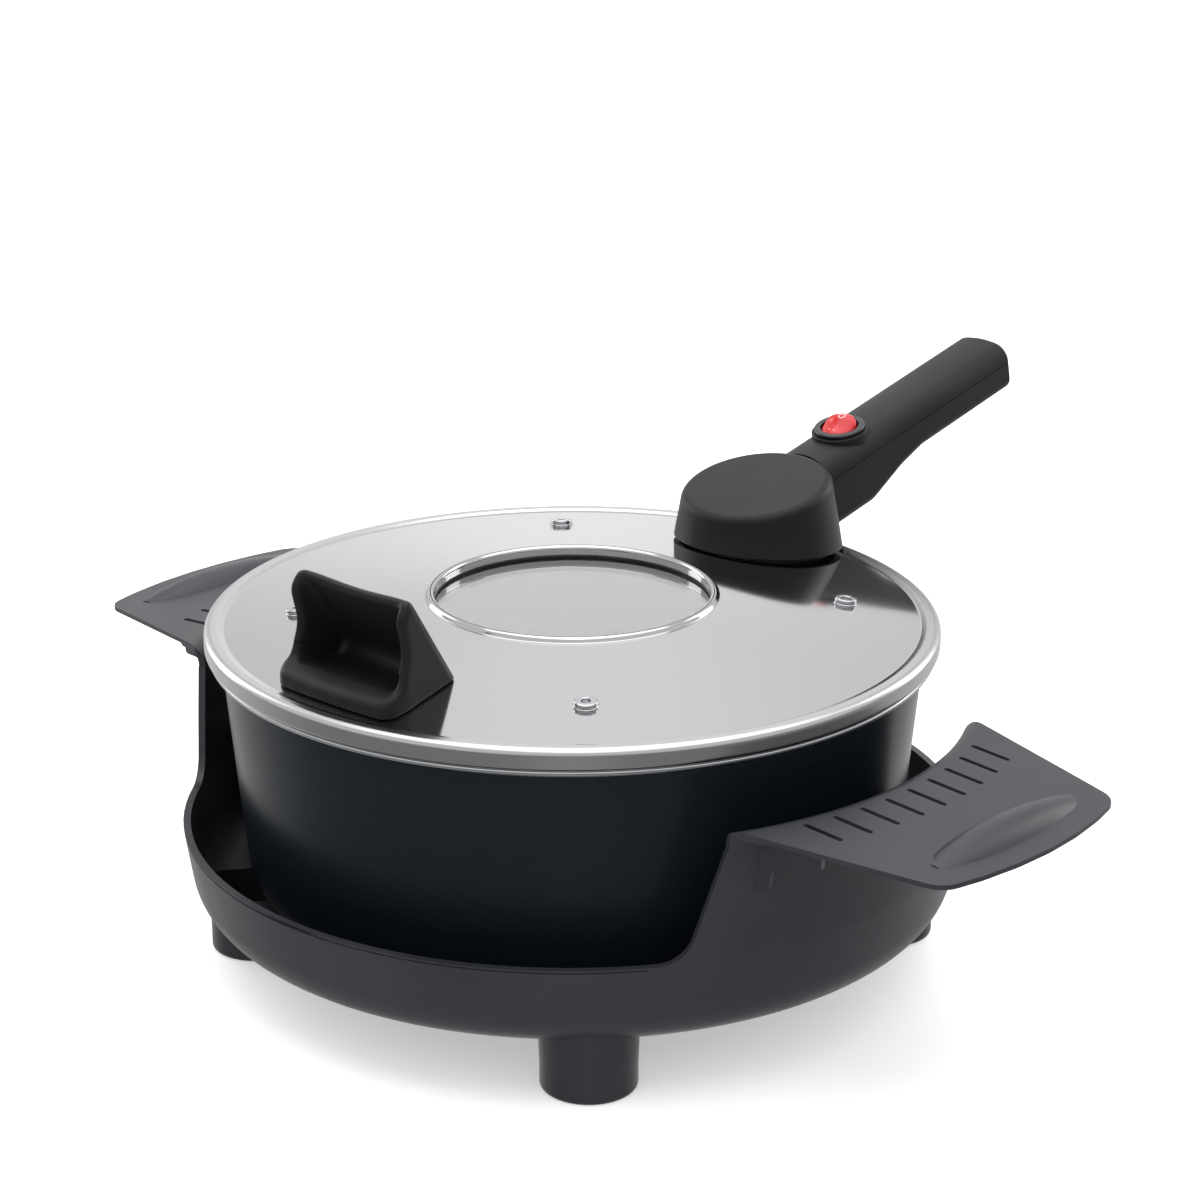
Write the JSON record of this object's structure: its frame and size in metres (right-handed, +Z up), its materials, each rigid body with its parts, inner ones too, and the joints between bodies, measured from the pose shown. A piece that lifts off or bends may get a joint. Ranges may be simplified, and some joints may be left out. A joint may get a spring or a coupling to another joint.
{
  "type": "electric roasting pan",
  "caption": "Electric roasting pan with a lift-off heated steel lid, glass window, switched side handle, coated pan with a flared rim, and a carrying stand with slotted plates.",
  "frame": {"origin": "centre of the circle through the legs, on the table", "axes": "+Z up along the pan's axis, +X and -X along the stand's carrying plates, +Y along the lid's handle"},
  "size_m": [0.4718, 0.4463, 0.2059],
  "materials": {
    "stand_plastic": "satin",
    "pan_coating": "coated satin",
    "polished_steel": "polished",
    "dome_coating": "coated satin",
    "glass": "clear",
    "gasket_rubber": "matte",
    "element_steel": "satin",
    "shield_steel": "satin",
    "insulation": "matte",
    "cutout_can": "satin",
    "block_ceramic": "gloss",
    "screw_steel": "satin",
    "handle_plastic": "matte",
    "base_plastic": "matte",
    "bezel_plastic": "gloss",
    "rocker_red": "gloss",
    "contact_brass": "satin",
    "inlet_plastic": "satin",
    "wire_brown": "satin",
    "wire_blue": "satin",
    "wire_green": "satin"
  },
  "bodies": {
    "stand": {"stand_frame": "stand_plastic"},
    "pan": {"pan_bowl": "pan_coating"},
    "lid": {"lid_cover": "polished_steel", "lid_dome": "dome_coating", "window_glass": "glass", "window_gasket": "gasket_rubber", "heating_element": "element_steel", "element_clips": "shield_steel", "heat_shield": "shield_steel", "insulation_ring": "insulation", "thermal_cutout": "cutout_can", "terminal_block": "block_ceramic", "lid_studs": "screw_steel", "stud_washers": "screw_steel", "stud_spacers": "screw_steel", "stud_nuts": "screw_steel", "head_housing": "handle_plastic", "head_base": "base_plastic", "head_screws": "screw_steel", "handle_upper": "handle_plastic", "handle_lower": "handle_plastic", "handle_screws": "screw_steel", "finger_grip": "handle_plastic", "grip_screws": "screw_steel", "switch_bezel": "bezel_plastic", "switch_body": "bezel_plastic", "switch_terminals": "contact_brass", "mains_inlet": "inlet_plastic", "inlet_pins": "contact_brass", "live_wires": "wire_brown", "neutral_wires": "wire_blue", "earth_wire": "wire_green"},
    "rocker": {"switch_rocker": "rocker_red"}
  },
  "joints": [
    {"name": "pan_lift", "type": "slide", "parent": "stand", "child": "pan", "axis": [0, 0, 1], "range_m": [0, 0.044]},
    {"name": "lid_lift", "type": "slide", "parent": "pan", "child": "lid", "axis": [0, 0, 1], "range_m": [0, 0.075]},
    {"name": "switch_rocker", "type": "hinge", "parent": "lid", "child": "rocker", "pos_m": [0, 0.17508, 0.18364], "axis": [1, 0, 0], "range_deg": [-18, 0]}
  ]
}
